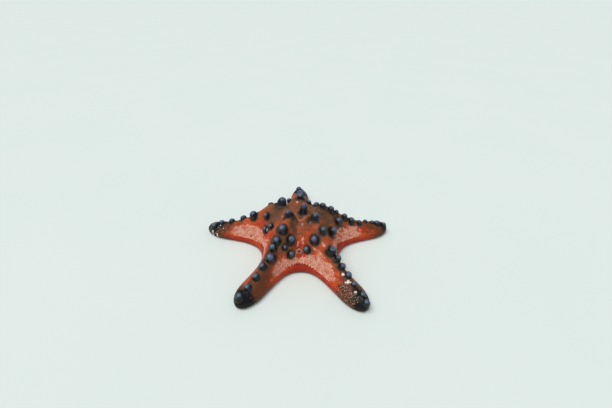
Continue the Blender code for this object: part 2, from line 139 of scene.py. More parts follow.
# One more stands across the cut between two solids, so only the skin here can carry it
SEAM_HORN = (236.4, 0.436, MEDIUM)
HORN_LEAN = 0.1
HORN_UPRIGHT = 0.9
HORN_RADIUS_VARY = 0.06
HORN_HEIGHT_VARY = 0.08
SLOPE_STEP = 0.012
HALVINGS = 30

# The photo's camera, seen from the disc's centre in shares of REACH, and its lens
CAMERA_PLACE = Vector((0.0666, -2.3584, 2.2655))
CAMERA_PITCH = 54.0
SENSOR = 36.0
LENS = 17.647

# The fine skin
CAGE_RIBS = (26, 18, 16)
CAGE_FLANK = 18
CAGE_RIM = 12
VOXEL = 0.0009
SMOOTH_ROUNDS = 24
WELD = 0.00001
RUN_STEPS = 301

# Relief of the skin, in metres: the swelling round a horn as a share of its height, ridges
# from horn to horn, the sunk net between them, and the two rows of plates along the rim
COLLAR_RISE = 0.13
SWELL_RADII = (0.8, 2.0)
RIDGE_REACH = 0.17
RIDGE_WIDTH = 0.0026
RIDGE_RISE = 0.0006
NET_SIZE = 0.005
NET_RISE = 0.00045
SEAM_DEPTH = 0.00045
PLATE_PITCH = 0.003
PLATE_RELIEF = 0.0003
RIM_MIDDLE = 0.048

# Pale patches on the right and the left flank of each of the ARMS: strength, where they start
# and end, and how much of the flank lies above them once the bay is past
PALE = (
    ((0.8, 0.33, 0.68, 0.42), (0.7, 0.34, 0.66, 0.55)),
    ((0.4, 0.33, 0.5, 0.6), (0.4, 0.33, 0.5, 0.6)),
    ((0.8, 0.33, 0.7, 0.5), (0.85, 0.3, 0.76, 0.42)),
    ((1.2, 0.24, 0.5, 0.66), (1.1, 0.24, 0.56, 0.52)),
    ((1.0, 0.22, 0.66, 0.42), (0.8, 0.28, 0.62, 0.55)),
)
PALE_BAY = 0.85
PALE_NARROWS = (0.28, 0.56)
PALE_RIM = (0.91, 0.97)
# Pale streaks on the disc: bearing and distance of both ends
STREAKS = (
    ((293, 0.345), (299, 0.48)), ((286, 0.345), (290, 0.43)), ((303, 0.4), (304, 0.5)),
    ((268, 0.25), (266, 0.31)), ((279, 0.235), (277, 0.3)),
)
STREAK_WIDTH = 0.0011
STREAK_PALE = 0.9
PLATE_CLEAR = (0.9, 1.25)
DASH = (0.0065, 0.0016)
# Worn pale spots: bearing, distance, size in metres, and how white each is
WORN = (
    (284, 0.144, 0.0026, 0.55), (301, 0.212, 0.002, 0.5), (188, 0.168, 0.0019, 0.55),
    (99, 0.157, 0.0011, 1.3), (305, 0.69, 0.0021, 1.0), (305, 0.765, 0.0024, 1.05),
    (304.6, 0.868, 0.0021, 1.0), (171.6, 0.965, 0.0017, 1.3), (169, 0.89, 0.0012, 1.2),
    (173.6, 0.915, 0.0014, 1.3), (175.4, 0.97, 0.0012, 1.3), (170.8, 0.845, 0.001, 1.2),
    (306.2, 0.782, 0.0016, 1.0), (303.4, 0.752, 0.0013, 0.9), (306.0, 0.705, 0.0013, 0.9),
)
WORN_RISE = 0.0005
# Where each of the ARMS turns brown and then black, and how much sooner its crest does so
BROWN_FROM = (
    (0.52, 0.9, 0.12), (0.4, 1.1, 0.3), (0.5, 0.88, 0.1),
    (0.36, 0.76, 0.22), (0.56, 0.82, 0.12),
)
BLACK_FROM = (
    (0.84, 0.96, 0.06), (0.5, 0.86, 0.35), (0.74, 0.9, 0.06),
    (0.78, 0.92, 0.02), (0.76, 0.95, 0.08),
)
# Flanks that stay orange for longer: 0 is the right and 1 the left one, and by how much
BRIGHT_FLANKS = {"arm_back": (0.0, 0.3), "arm_front_left": (0.3, 0.0)}
# Brown of the disc's middle and round the horns, and the halo round the horns' roots, partly
# darker skin and partly painted shade, in their radii
BROWN_DISC = (0.12, 0.36)
DISC_CLOUD = 0.7
HORN_CLOUD = 0.9
CLOUD_RADII = 1.75
HUG_RADII = (0.85, 2.05)
# Brown shades on the shoulders: bearing, distance, radius and strength
SHADES = (
    (168, 0.24, 0.15, 0.95), (13, 0.24, 0.16, 1.1), (7, 0.37, 0.11, 1.05), (344, 0.29, 0.09, 1.0),
    (250, 0.17, 0.08, 0.9), (262, 0.12, 0.09, 0.8), (300, 0.22, 0.06, 0.6), (60, 0.28, 0.15, 1.0),
    (100, 0.22, 0.13, 0.7), (128, 0.3, 0.12, 0.85),
)
# Cream specks near two of the tips: where along the arm they start and end
SPECKS = {"arm_left": (0.8, 0.99), "arm_front_right": (0.66, 0.96)}

# The sieve plate in fine: bearing, distance, radius, rise, and depth and width of its furrows
PLATE_BEARING = 270.0
PLATE_RADIUS = 0.305
PLATE_SIZE = 0.03
PLATE_RISE = 0.011
PLATE_FURROW = (0.00022, 0.00055)
# Its grid, how oval it is, its sunk middle, and its outward furrows and where they start; how
# far in its rings go, and how deep the outer one sits, in metres
PLATE_GRID = (96, 26)
PLATE_OVAL = (0.07, 0.03)
PLATE_DENT = 0.35
PLATE_SPOKES = 17.0
PLATE_SPOKES_FROM = 0.45
PLATE_OPEN = 0.985
PLATE_SUNK = 0.0006

# The mouth in fine, after the solids' lip and jaw spines
LIP_SIZE = 0.046
LIP_LOW = 0.062
LIP_TOP = 0.084
LIP_GRID = (120, 22)
LIP_FOLDS = 30
LIP_FOLD = 0.05
LIP_ARC = (-0.25, 1.0)
LIP_HOLE = 0.22
JAW_RING = 0.03
JAW_SPREADS = (0.1, 0.26, 0.42)
JAW_LEAN = 0.35
JAW_LENGTH = 0.036
JAW_RADIUS = 0.0066
JAW_STEP = 0.003
JAW_SUNK = 0.0004
JAW_SHRINK = 0.1
JAW_FLAT = 0.75

# Tube feet: two rows of suckers along each groove, closer and finer than the solids' rows
FOOT_PITCH = 0.033
FOOT_START = 0.115
FOOT_STOP = 0.945
FOOT_ROW = 0.0165
FOOT_SUCKER = 0.0115
FOOT_SIDES = 14
# How far the rows are staggered, in pitches; their level, their roots in the groove's roof and
# their sway, in metres; the cup's radius in the sucker's; and where the mouth widens a groove
FOOT_STAGGER = 0.25
FOOT_LEVEL = 0.0003
FOOT_SUNK = 0.0008
FOOT_SWAY = 0.0005
FOOT_CUP = 0.12
MOUTH_WIDENS = 0.22
FOOT_PROFILE = (
    (0.0, 0.045), (0.45, 0.03), (0.8, 0.0), (0.98, 0.03), (1.0, 0.09), (0.86, 0.15),
    (0.62, 0.2), (0.54, 0.3), (0.6, 0.42), (0.55, 0.55), (0.64, 0.7), (0.6, 0.85), (0.72, 1.0),
)

# Spines along both edges of the grooves: spacing, length, and half widths along and across
SPINE_PITCH = 0.0155
SPINE_START = 0.1
SPINE_STOP = 0.94
SPINE_LEVEL = 0.002
SPINE_LENGTH = 0.024
SPINE_HALF = (0.0062, 0.004)
SPINE_SIDES = 8
SPINE_RINGS = 6
SPINE_BESIDE = 0.002
SPINE_ROOT = -0.25
SPINE_WAIST = 0.82
SPINE_END = 0.04

# The underside: all skin below a level, inside a share of the way to the rim, and what faces
# down by more than this
UNDER_LEVEL = 0.8 * RIM_TOP
UNDER_SHARE = 0.88
TOP_FACING = (-0.92, -0.7)

# Horns in fine: sides and rings of each, and how much its surface wavers
HORN_SIDES = 28
HORN_RINGS = 20
HORN_ROOT = -0.45
HORN_WAVER = 0.05
HORN_WIDTH = 0.88
HORN_FLARE = 0.12
HORN_FLARE_HEIGHT = 0.15
HORN_BULGE = (2.7, 3.4)
HORN_ROUND = (0.46, 0.54)
# The ring of bright skin before the highest horn, which is the disc's first: its radius and
# width and where it ends behind, in the horn's radii, and its shift in metres
APEX_COLLAR = 1.5
APEX_WIDTH = 0.26
APEX_BEHIND = (0.3, 1.2)
APEX_SHIFT = (0.0012, 0.0016)
# One of the disc's horns, on the left, has a white broken side: which one, and towards where
CHIPPED = 19
CHIP_SIDE = Vector((0.8, -0.5, 0.3)).normalized()
CHIP_ABOVE = 0.2
CHIP_EDGE = (0.68, 0.9)


def smooth(x):
    """A step from 0 to 1 with level ends."""
    x = np.clip(x, 0.0, 1.0)
    return x * x * (3.0 - 2.0 * x)


def between(a, b, share):
    """The value or point a share of the way from a to b."""
    return a + (b - a) * share


def ramp(x, start, end):
    """A smooth step that starts and ends with a stretch."""
    return smooth((x - start) / (end - start))


def column(field):
    """One field of all the arms, as an array."""
    return np.array([getattr(arm, field) for arm in ARMS], float)


BEARINGS = np.radians(column("bearing"))
LENGTHS, WIDTHS, BENDS = column("length"), column("half_width"), column("bend")
NEXT_TURN = np.radians((np.roll(column("bearing"), -1) - column("bearing")) % 360.0) / 2.0
# Half the angle to each neighbour, the bay's depth and its fullness, right and left of the arms
TURNS = np.stack([np.roll(NEXT_TURN, 1), NEXT_TURN], axis=1)
DEPTHS, FULLS = np.array(BAYS).T
DEPTHS = np.stack([np.roll(DEPTHS, 1), DEPTHS], axis=1)
FULLS = np.stack([np.roll(FULLS, 1), FULLS], axis=1)


# The surface of the body; arm and side are arrays of numbers, and side is 0 right, 1 left

def half_width(arm, side, s):
    """Distance from the middle of an arm to its outline, apart from the rounded tip."""
    turn, depth = TURNS[arm, side], DEPTHS[arm, side]
    extra = depth * np.sin(turn) - WIDTHS[arm]
    past = np.maximum(s - depth * np.cos(turn), 0.0)
    return WIDTHS[arm] + extra * np.exp(-past / (extra * np.tan(turn)))


def crest_side(arm, s):
    """How far the crest lies to the left of an arm's middle."""
    root = ramp(s, *SHOULDER_RISE) * (1.0 - ramp(s, *SHOULDER_FALL))
    return column("crest_root")[arm] * root + column("crest_end")[arm] * ramp(s, *ARM_ROW)


def crest_slopes():
    """Slope of the crest at each station, level at the disc's centre."""
    stations, heights = [np.pad(row, 1, "edge") for row in (CREST_STATIONS, CREST_HEIGHTS)]
    slopes = (heights[2:] - heights[:-2]) / (stations[2:] - stations[:-2])
    slopes[0] = 0.0
    return slopes


def crest_height(arm, s):
    """Height of the crest above the rim."""
    stations, heights, slopes = np.array(CREST_STATIONS), np.array(CREST_HEIGHTS), crest_slopes()
    q = np.clip(s / LENGTHS[arm], 0.0, 1.0)
    k = np.clip(np.searchsorted(stations, q) - 1, 0, len(stations) - 2)
    step = stations[k + 1] - stations[k]
    x = (q - stations[k]) / step
    value = between(heights[k], heights[k + 1], smooth(x))
    value = value + step * x * (1.0 - x) * (slopes[k] * (1.0 - x) - slopes[k + 1] * x)
    return value * between(1.0, column("lift")[arm], ramp(s, *LIFT_FROM))


Ribs = namedtuple("Ribs", "crest margin outward blunt mouth")


def ribs(arm, side, u):
    """The ribs at u: 0 in the bay, 1 at the arm's root, 2 where the tip starts, 3 at the tip."""
    sign = 2.0 * side - 1.0
    turn, foot = TURNS[arm, side], DEPTHS[arm, side] * np.cos(TURNS[arm, side])
    length = LENGTHS[arm]
    start = TIP_START * length
    zones = [u <= 1.0, u > 2.0]
    angle = np.clip(u - 2.0, 0.0, 1.0) * math.pi / 2.0
    inner = np.clip(u, 0.0, 1.0)
    outer = np.clip(u - 1.0, 0.0, 1.0)
    along = between(CUT, start, outer)
    crest_tip = start + (CREST_END * length - start) * np.sin(angle)
    margin_tip = start + (length - start) * np.sin(angle)
    crest = np.select(zones, [CUT * inner ** RIB_SPREAD, crest_tip], along)
    margin = np.select(zones, [between(foot, CUT, inner), margin_tip], along)
    wide = half_width(arm, side, margin) * np.cos(angle)
    lean_s = np.select(zones, [np.cos(turn) * (1.0 - inner), np.sin(angle) / (length - start)])
    lean_t = [between(np.sin(turn), 1.0, inner), np.cos(angle) / WIDTHS[arm]]
    lean_t = np.select(zones, lean_t, 1.0)
    size = np.hypot(lean_s, lean_t)
    blunt_bay = between(FULLS[arm, side], ROOT_BLUNT, smooth(inner))
    blunt_tip = between(ARM_BLUNT, 1.0, smooth(u - 2.0))
    blunt = between(ROOT_BLUNT, ARM_BLUNT, smooth(outer))
    return Ribs(
        crest=np.stack([crest, crest_side(arm, crest)], axis=-1),
        margin=np.stack([margin, sign * wide], axis=-1),
        outward=np.stack([lean_s / size, sign * lean_t / size], axis=-1),
        blunt=np.select(zones, [blunt_bay, blunt_tip], blunt), mouth=np.maximum(1.0 - u, 0.0),
    )


def flank(share, blunt):
    """Height left at a share of the way from the crest to the rim; blunt rounds it."""
    share = np.clip(share, 0.0, 1.0)
    return (1.0 - share ** between(*FLANK_SHARE, blunt)) ** between(*FLANK_POWER, blunt)


def groove_roof(s):
    """Height of the groove's roof above the floor."""
    return between(MOUTH_DEPTH, GROOVE_DEPTH, smooth(s / MOUTH_REACH))


def bend(arm, s):
    """How far an arm's middle lies to the left of its bearing."""
    return BENDS[arm] * (np.maximum(s - CUT, 0.0) / (LENGTHS[arm] - CUT)) ** 2


def world(arm, s, t):
    """Place on the floor of points s along and t left of an arm, in metres."""
    t = t + bend(arm, s)
    turn = BEARINGS[arm]
    x = CENTRE.x + (s * np.cos(turn) - t * np.sin(turn)) * REACH
    y = CENTRE.y + (s * np.sin(turn) + t * np.cos(turn)) * REACH
    return x, y


def arm_at(x, y):
    """The arm that points on the floor belong to, and their place along and left of it."""
    x, y = (np.asarray(x) - CENTRE.x) / REACH, (np.asarray(y) - CENTRE.y) / REACH
    bearing = np.arctan2(y, x)[..., None]
    turn = (bearing - BEARINGS + math.pi) % (2.0 * math.pi) - math.pi
    off = np.where(turn >= 0.0, turn / TURNS[:, 1], -turn / TURNS[:, 0])
    arm = np.argmin(off, axis=-1)
    s = x * np.cos(BEARINGS[arm]) + y * np.sin(BEARINGS[arm])
    t = y * np.cos(BEARINGS[arm]) - x * np.sin(BEARINGS[arm])
    return arm, s, t - bend(arm, s)


def rib_through(arm, s, t):
    """Side, u, share from crest to rim, and height of the skin for points of the plan."""
    side = (t >= crest_side(arm, s)).astype(int)
    sign = 2.0 * side - 1.0
    low, high = np.zeros_like(s), np.full_like(s, 3.0)
    for _ in range(HALVINGS):
        middle = (low + high) / 2.0
        shape = ribs(arm, side, middle)
        way, off = shape.margin - shape.crest, np.stack([s, t], axis=-1) - shape.crest
        ahead = sign * (way[..., 1] * off[..., 0] - way[..., 0] * off[..., 1]) > 0.0
        low, high = np.where(ahead, middle, low), np.where(ahead, high, middle)
    share = (off * way).sum(-1) / (way * way).sum(-1)
    height = RIM_TOP + crest_height(arm, shape.crest[..., 0]) * flank(share, shape.blunt)
    return side, middle, share, height


def on_skin(arm, s, t):
    """Points on the smooth skin, in metres."""
    x, y = world(arm, s, t)
    return np.stack([x, y, rib_through(arm, s, t)[3] * REACH], axis=-1)


def skin_frame(arm, s, t):
    """Place on the skin and the direction that it faces there."""
    arm = np.array([arm])
    here, back, left, right = [
        Vector(on_skin(arm, np.array([s + ds]), np.array([t + dt]))[0])
        for ds, dt in ((0, 0), (-SLOPE_STEP, 0), (0, SLOPE_STEP), (0, -SLOPE_STEP))
    ]
    return here, (here - back).cross(left - right).normalized()


Horn = namedtuple("Horn", "node place aim radius height turn")


def horn(node, arm, s, t, kind, draw):
    """One horn, drawn as the solids draw it."""
    radius, height = kind
    radius *= REACH * draw.uniform(1.0 - HORN_RADIUS_VARY, 1.0 + HORN_RADIUS_VARY)
    height *= REACH * draw.uniform(1.0 - HORN_HEIGHT_VARY, 1.0 + HORN_HEIGHT_VARY)
    place, normal = skin_frame(arm, s, t)
    aim = (normal + UP * HORN_UPRIGHT).normalized()
    aim += Vector([draw.uniform(-HORN_LEAN, HORN_LEAN) for _ in range(3)])
    return Horn(node, place, aim.normalized(), radius, height, draw.uniform(0.0, math.pi))


def plan_point(bearing, distance):
    """A place on the floor from a bearing and a distance from the disc's centre."""
    turn = math.radians(bearing)
    way = np.array([math.cos(turn), math.sin(turn)]) * distance * REACH
    return np.array(CENTRE)[:2] + way


def disc_horn(bearing, distance, kind, draw):
    """One horn of the disc, from its bearing and its distance from the centre."""
    arm, s, t = arm_at(*plan_point(bearing, distance))
    return horn("disc", int(arm), float(s), float(t), kind, draw)


def all_horns():
    """Every horn of the disc and the arms, in the order of the solids."""
    draw = random.Random(SEED)
    made = [disc_horn(*one, draw) for one in DISC_HORNS]
    for number, arm in enumerate(ARMS):
        for s, t, kind in ARM_HORNS[number]:
            made.append(horn(arm.name, number, s * arm.length, t, kind, draw))
    return made + [disc_horn(*SEAM_HORN, draw)]


# Mesh helpers

def object_from(name, data):
    """An object of the scene from a mesh, a light or a camera."""
    made = bpy.data.objects.new(name, data)
    bpy.context.scene.collection.objects.link(made)
    return made


def mesh_from(bm, name):
    """A mesh from one in the making."""
    mesh = bpy.data.meshes.new(name)
    bm.to_mesh(mesh)
    bm.free()
    return mesh


def point_values(mesh, name):
    """The places of the mesh's points or the directions that they face, as an array."""
    found = np.empty(len(mesh.vertices) * 3, np.float32)
    mesh.vertices.foreach_get(name, found)
    return found.reshape(-1, 3).astype(float)


def set_field(mesh, name, values):
    """Keep one number for each point, for the material to read."""
    field = mesh.attributes.new(name, "FLOAT", "POINT")
    field.data.foreach_set("value", np.asarray(values, np.float32))


# The skin

def rim_curve(count):
    """The rim's profile, rounded through its points."""
    points = np.array(RIM_PROFILE)
    knots = np.linspace(0.0, len(points) - 1.0, count)
    k = np.minimum(knots.astype(int), len(points) - 2)
    x = (knots - k)[:, None]
    padded = np.vstack([2 * points[0] - points[1], points, 2 * points[-1] - points[-2]])
    a, b, c, d = (padded[k + j] for j in range(4))
    return 0.5 * (2 * b + (c - a) * x + (2 * a - 5 * b + 4 * c - d) * x ** 2
                  + (3 * b - a - 3 * c + d) * x ** 3)


def strip_points(arm, side):
    """The grid of points of one side of an arm, from its bay to its tip."""
    u = np.concatenate([
        k + np.arange(count) / count for k, count in enumerate(CAGE_RIBS)
    ] + [[3.0]])
    arms, sides = np.full(len(u), arm), np.full(len(u), side)
    shape = ribs(arms, sides, u)
    top = shape.margin + shape.outward * RIM_PROFILE[0][0]
    height = crest_height(arms, shape.crest[:, 0])
    plan, rise = [], []
    for share in np.linspace(0.0, 1.0, CAGE_FLANK, endpoint=False):
        plan.append(between(shape.crest, top, share))
        rise.append(RIM_TOP + height * flank(share, shape.blunt))
    for out, up in rim_curve(CAGE_RIM):
        plan.append(shape.margin + shape.outward * out)
        rise.append(np.full(len(u), up))
    axis = np.stack([shape.crest[:, 0], np.zeros(len(u))], axis=-1)
    across = shape.margin + shape.outward * RIM_PROFILE[-1][0] - axis
    half = between(GROOVE_HALF, MOUTH_RADIUS, smooth(shape.mouth))
    edge = np.minimum(half / np.hypot(*across.T), GROOVE_MOST)[:, None]
    roof = groove_roof(axis[:, 0])
    wall_in, wall_up = GROOVE_WALL
    for share, up in ((between(edge, 1.0, 0.66), 0.0), (between(edge, 1.0, 0.33), 0.0),
                      (edge, 0.0), (edge * wall_in, wall_up), (edge * 0.0, 1.0)):
        plan.append(axis + across * share)
        rise.append(roof * up)
    plan, rise = np.array(plan), np.array(rise)
    x, y = world(arms, plan[..., 0], plan[..., 1])
    return np.stack([x, y, rise * REACH], axis=-1)


def cage():
    """The closed body of all arms, from ribs."""
    bm = bmesh.new()
    for arm in range(len(ARMS)):
        for side in (0, 1):
            grid = [[bm.verts.new(p) for p in line] for line in strip_points(arm, side)]
            for near, far in zip(grid, grid[1:]):
                for k in range(len(near) - 1):
                    bm.faces.new((near[k], near[k + 1], far[k + 1], far[k]))
    bmesh.ops.remove_doubles(bm, verts=bm.verts, dist=WELD)
    bmesh.ops.dissolve_degenerate(bm, edges=bm.edges, dist=WELD)
    bmesh.ops.recalc_face_normals(bm, faces=bm.faces)
    return mesh_from(bm, "skin")


def fine_skin():
    """The body as an even fine mesh with soft creases."""
    skin = object_from("skin", cage())
    even = skin.modifiers.new("even", "REMESH")
    even.mode = "VOXEL"
    even.voxel_size = VOXEL
    soft = skin.modifiers.new("soft", "SMOOTH")
    soft.factor = 0.5
    soft.iterations = SMOOTH_ROUNDS
    graph = bpy.context.evaluated_depsgraph_get()
    mesh = bpy.data.meshes.new_from_object(skin.evaluated_get(graph))
    skin.modifiers.clear()
    skin.data = mesh
    return skin


def net_edges(points, size):
    """Distance of points from the edges of a net of cells, as a share of the cells' size."""
    nearest = [noise.voronoi(Vector(p) / size)[0] for p in points]
    return np.array([second - first for first, second, *_ in nearest])


def distance_to(points, a, b):
    """Distance of points from the stretch between two places."""
    way = b - a
    share = np.clip(((points - a) @ way) / (way @ way), 0.0, 1.0)
    return np.linalg.norm(points - a - share[:, None] * way, axis=1)


def margin_run(arm, side, u):
    """Distance along the rim from the middle of the bay, in metres."""
    steps = np.linspace(0.0, 3.0, RUN_STEPS)
    found = np.zeros(len(u))
    for number in range(len(ARMS)):
        for hand in (0, 1):
            shape = ribs(np.full(RUN_STEPS, number), np.full(RUN_STEPS, hand), steps)
            gaps = np.linalg.norm(np.diff(shape.margin, axis=0), axis=1)
            run = np.concatenate([[0.0], np.cumsum(gaps)]) * REACH
            here = (arm == number) & (side == hand)
            found[here] = np.interp(u[here], steps, run)
    return found


def bell(x, width):
    """A soft hill, 1 high at 0."""
    return np.exp(-(x / width) ** 2)


def horn_distance(points, one):
    """Distance of points from the root of a horn, in the horn's radii."""
    return np.linalg.norm(points - np.array(one.place), axis=1) / one.radius


def plan_distance(points, bearing, distance):
    """Distance in metres, seen from above, of points from a place of the plan."""
    return np.linalg.norm(points[:, :2] - plan_point(bearing, distance), axis=1)


def bright_ring(points, one):
    """The ring of bright skin before a horn."""
    behind = (points[:, 1] - one.place.y) / one.radius
    ring = np.linalg.norm(points[:, :2] - np.array(one.place)[:2] + APEX_SHIFT, axis=1)
    return bell(ring / one.radius - APEX_COLLAR, APEX_WIDTH) * (1.0 - ramp(behind, *APEX_BEHIND))


Fields = namedtuple("Fields", "arm side s t share run level top hug cloud collar net ridge")


def skin_fields(points, facing, horns):
    """What the relief and the colours need to know at each point of the skin."""
    arm, s, t = arm_at(points[:, 0], points[:, 1])
    side, u, share, _ = rib_through(arm, s, t)
    level = points[:, 2] / REACH
    inside = (share < UNDER_SHARE) & (level < UNDER_LEVEL)
    hug, cloud, ridge = np.zeros((3, len(points)))
    for k, one in enumerate(horns):
        away = horn_distance(points, one)
        hug = np.maximum(hug, 1.0 - ramp(away, *HUG_RADII))
        cloud = 1.0 - (1.0 - cloud) * (1.0 - HORN_CLOUD * bell(away, CLOUD_RADII))
        for other in horns[k + 1:]:
            a, b = np.array(one.place), np.array(other.place)
            if np.linalg.norm(a - b) < RIDGE_REACH * REACH:
                ridge = np.maximum(ridge, bell(distance_to(points, a, b), RIDGE_WIDTH))
    middle = plan_distance(points, 0.0, 0.0) / REACH
    cloud = np.maximum(cloud, DISC_CLOUD * (1.0 - ramp(middle, *BROWN_DISC)))
    for bearing, distance, size, strength in SHADES:
        away = plan_distance(points, bearing, distance)
        cloud = np.maximum(cloud, strength * bell(away, size * REACH))
    top = ramp(facing[:, 2], *TOP_FACING) * ~inside
    collar, net = bright_ring(points, horns[0]), net_edges(points, NET_SIZE)
    run = margin_run(arm, side, u)
    return Fields(arm, side, s, t, share, run, level, top, hug, cloud, collar, net, ridge)


def relief(points, horns, f):
    """How far each point of the skin is raised."""
    lift = np.zeros(len(points))
    for one in horns:
        near = 1.0 - ramp(horn_distance(points, one), *SWELL_RADII)
        lift = np.maximum(lift, COLLAR_RISE * one.height * near)
    net = NET_RISE * (1.0 - ramp(f.net, 0.05, 0.35))
    upper = f.top * ramp(f.level, RIM_TOP, RIM_TOP + 0.02)
    lift = lift + upper * (np.maximum(RIDGE_RISE * f.ridge, net) + WORN_RISE * worn(points))
    seams = SEAM_DEPTH * (1.0 - ramp(f.net, 0.04, 0.22)) * (1.0 - f.top)
    return lift + PLATE_RELIEF * rim_plates(f) - seams * (f.level < 0.006)


def worn(points):
    """The worn spots, from 0 beside them to 1 on them."""
    found = np.zeros(len(points))
    for bearing, distance, size, white in WORN:
        away = plan_distance(points, bearing, distance) / size
        found = np.maximum(found, white * (1.0 - ramp(away, 0.4, 1.3)))
    return found


def dashes(f):
    """Soft noise from -1 to 1, drawn out along the arms."""
    long, wide = DASH
    return np.array([
        noise.noise(Vector((s * REACH / long, t * REACH / wide, 7.3 * arm)))
        for arm, s, t in zip(f.arm, f.s, f.t)
    ])


def pale_patches(points, f):
    """How pale the flanks are."""
    pale = np.zeros(len(points))
    narrow = ramp(f.s, *PALE_NARROWS)
    for number, flanks in enumerate(PALE):
        for hand, (strength, start, end, above) in enumerate(flanks):
            here = (f.arm == number) & (f.side == hand)
            inner = between(PALE_BAY, above, narrow)
            patch = ramp(f.s, start - 0.06, start + 0.03) * ramp(f.s, end + 0.06, end - 0.12)
            patch = patch * ramp(f.share, inner - 0.14, inner + 0.08)
            pale[here] = (strength * patch)[here]
    for near, far in STREAKS:
        a, b = plan_point(*near), plan_point(*far)
        streak = bell(distance_to(points[:, :2], a, b), STREAK_WIDTH)
        pale = np.maximum(pale, STREAK_PALE * streak)
    away = plan_distance(points, PLATE_BEARING, PLATE_RADIUS)
    pale = pale * ramp(away / (PLATE_SIZE * REACH), *PLATE_CLEAR)
    return pale * (1.0 - ramp(f.share, *PALE_RIM))


def end_colours(f):
    """How brown and how black the arms' outer parts are, and how specked with cream."""
    brown, black, specks = np.zeros((3, len(f.s)))
    for number, arm in enumerate(ARMS):
        here = f.arm == number
        q = f.s / arm.length
        for kept, (start, end, sooner) in (
            (brown, BROWN_FROM[number]), (black, BLACK_FROM[number]),
        ):
            late = np.choose(f.side, BRIGHT_FLANKS.get(arm.name, (0.0, 0.0)))
            late = late * ramp(f.share, 0.0, 0.3) * (1.0 - ramp(q, 0.8, 0.9))
            kept[here] = ramp(q - late + sooner * (0.6 - f.share), start, end)[here]
        if arm.name in SPECKS:
            start, end = SPECKS[arm.name]
            zone = ramp(q, start, start + 0.08) * (1.0 - ramp(q, end - 0.06, end))
            specks[here] = (zone * ramp(f.share, 0.15, 0.4))[here]
    return brown, black, specks


def rim_plates(f):
    """Two rows of rounded plates along the rim, from 0 between them to 1 on them."""
    row = np.where(f.level > RIM_MIDDLE, 1.0, 0.0)
    low = np.where(row > 0.0, RIM_MIDDLE, 0.002)
    high = np.where(row > 0.0, RIM_TOP + 0.006, RIM_MIDDLE)
    up = np.clip((f.level - low) / (high - low), 0.0, 1.0)
    across = np.abs(2.0 * ((f.run / PLATE_PITCH + 0.5 * row) % 1.0) - 1.0)
    plate = (1.0 - across ** 4) * (1.0 - np.abs(2.0 * up - 1.0) ** 5)
    return plate * ramp(f.share, 0.9, 0.97)


def skin_colours(mesh, points, f):
    """The fields that the skin's material reads."""
    brown, black, specks = end_colours(f)
    for name, values in (
        ("pale", pale_patches(points, f)), ("dash", dashes(f)), ("brown", brown),
        ("black", black), ("specks", specks), ("worn", worn(points)), ("plate", rim_plates(f)),
    ):
        set_field(mesh, name, values)
    for name in ("cloud", "hug", "collar", "net", "level", "share", "run", "top"):
        set_field(mesh, name, getattr(f, name))


# Materials

def srgb(*parts):
    """A colour of the screen, from 0 to 255, as the shader's own numbers."""
    shares = [part / 255.0 for part in parts]
    return (*[v / 12.92 if v <= 0.04045 else ((v + 0.055) / 1.055) ** 2.4 for v in shares], 1.0)


ORANGE = srgb(208, 82, 38)
RED = srgb(182, 47, 24)
TAN = srgb(138, 80, 50)
BROWN = srgb(98, 65, 45)
DARK_BROWN = srgb(47, 37, 28)
HALO_SHADE = srgb(56, 42, 31)
SOOT = srgb(17, 16, 17)
END_BROWN = srgb(98, 54, 32)
PINK = srgb(208, 126, 100)
CREAM = srgb(228, 176, 150)
SPECK = srgb(166, 134, 108)
WORN_PINK = srgb(196, 152, 134)
WHITE = srgb(226, 218, 206)
COLLAR = srgb(178, 104, 76)
RIM_ORANGE = srgb(190, 66, 34)
RIM_RED = srgb(164, 43, 24)
RIM_JOINT_AND_SHADE = srgb(66, 22, 15)
PLATE_DARK = srgb(112, 52, 40)
PLATE_PALE = srgb(222, 164, 140)
PLATE_RED = srgb(128, 52, 38)
HORN_DARK = srgb(19, 19, 22)
HORN_HIGHLIGHT_BLUE = srgb(96, 110, 130)
HORN_ROOT_BROWN = srgb(26, 21, 18)
BELLY = srgb(208, 138, 96)
BELLY_PALE = srgb(234, 194, 154)
BELLY_SEAM = srgb(150, 82, 54)
MOUTH_PALE = srgb(224, 176, 138)
MOUTH_DARK = srgb(196, 126, 90)
FOOT_PALE = srgb(232, 196, 150)
FOOT_ORANGE = srgb(222, 158, 104)
SPINE_PALE = srgb(230, 190, 146)
SPINE_ORANGE = srgb(206, 122, 76)
FLOOR = srgb(226, 232, 224)
FLOOR_DARK = srgb(220, 228, 220)

# Sizes in metres: the skin's lumps, fine grain and wide clouds, and its cells for pale
# grains, specks, the pale patches' web and beads; and the depth of the shaded grain
LUMPS, FINE, WIDE = 0.006, 0.0016, 0.018
GRAIN_CELL, SPECK_CELL, WEB_CELL, BEAD_CELL = 0.0014, 0.0007, 0.0024, 0.0009
SKIN_GRAIN, OTHER_GRAIN = 0.00012, 0.0001


